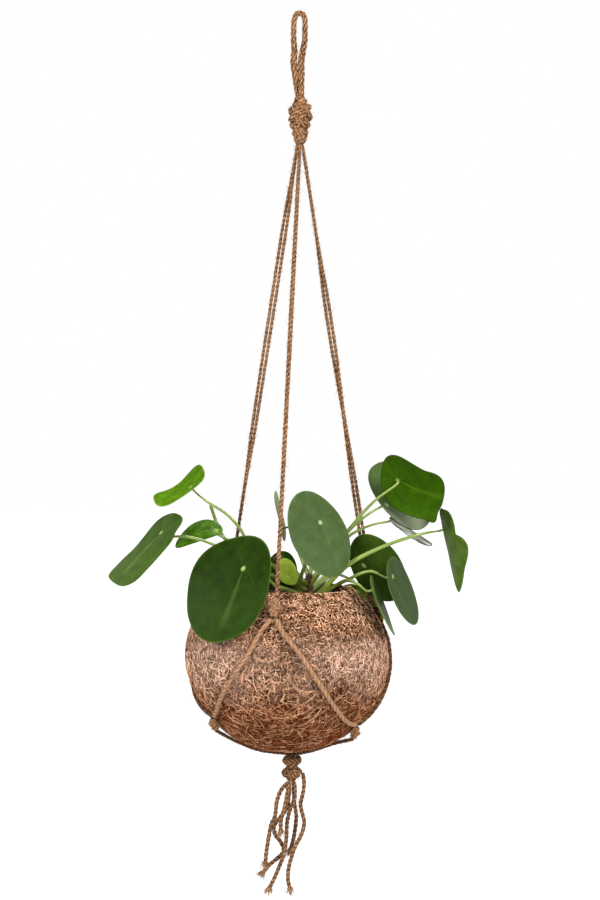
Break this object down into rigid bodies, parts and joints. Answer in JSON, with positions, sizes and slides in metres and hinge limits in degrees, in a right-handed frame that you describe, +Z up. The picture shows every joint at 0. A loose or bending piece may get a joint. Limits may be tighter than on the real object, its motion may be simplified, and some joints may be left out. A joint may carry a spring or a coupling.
{
  "type": "hanging houseplant in a coir ball pot",
  "caption": "Round-leaved houseplant in an open ball-shaped coconut fibre pot, carried by a knotted jute twine hanger with a hanging loop above and a loose tassel below.",
  "frame": {"origin": "the top of the inside of the hanging loop, where a hook or nail carries it", "axes": "+Z up along the hanger, +X to the viewer's right, +Y away from the viewer"},
  "size_m": [0.3543, 0.2185, 0.8806],
  "materials": {
    "coir": "rough brown coconut fibre, pressed",
    "pot_plastic": "thin black nursery pot",
    "soil": "moist potting soil",
    "stalk": "yellow-green stalks on a brown woody stem",
    "leaf_green": "satin",
    "leaf_pale": "satin",
    "leaf_bright": "satin",
    "jute": "twisted jute twine"
  },
  "bodies": {
    "root": {"coir_pot": "coir", "inner_pot": "pot_plastic", "potting_soil": "soil", "stem_and_stalks": "stalk", "leaf_01": "leaf_green", "leaf_02": "leaf_green", "leaf_03": "leaf_bright", "leaf_04": "leaf_green", "leaf_05": "leaf_pale", "leaf_06": "leaf_pale", "leaf_07": "leaf_bright", "leaf_08": "leaf_pale", "leaf_09": "leaf_pale", "leaf_10": "leaf_green", "leaf_11": "leaf_green", "leaf_12": "leaf_green", "leaf_13": "leaf_green", "leaf_14": "leaf_bright", "leaf_15": "leaf_green", "leaf_16": "leaf_green", "leaf_17": "leaf_green", "leaf_18": "leaf_green", "hanging_loop": "jute", "top_knot": "jute", "leg_front_a": "jute", "leg_front_b": "jute", "leg_right_a": "jute", "leg_right_b": "jute", "leg_left_a": "jute", "leg_left_b": "jute", "tie_knot_front": "jute", "tie_knot_right": "jute", "tie_knot_left": "jute", "net_front_right": "jute", "net_front_left": "jute", "net_right_front": "jute", "net_right_back": "jute", "net_left_front": "jute", "net_left_back": "jute", "lower_knot_right": "jute", "lower_knot_left": "jute", "lower_knot_back": "jute", "under_right_a": "jute", "under_right_b": "jute", "under_left_a": "jute", "under_left_b": "jute", "under_back_a": "jute", "under_back_b": "jute", "bottom_knot": "jute", "tassel_1": "jute", "tassel_2": "jute", "tassel_3": "jute", "tassel_4": "jute", "tassel_5": "jute", "tassel_6": "jute"}
  },
  "joints": []
}
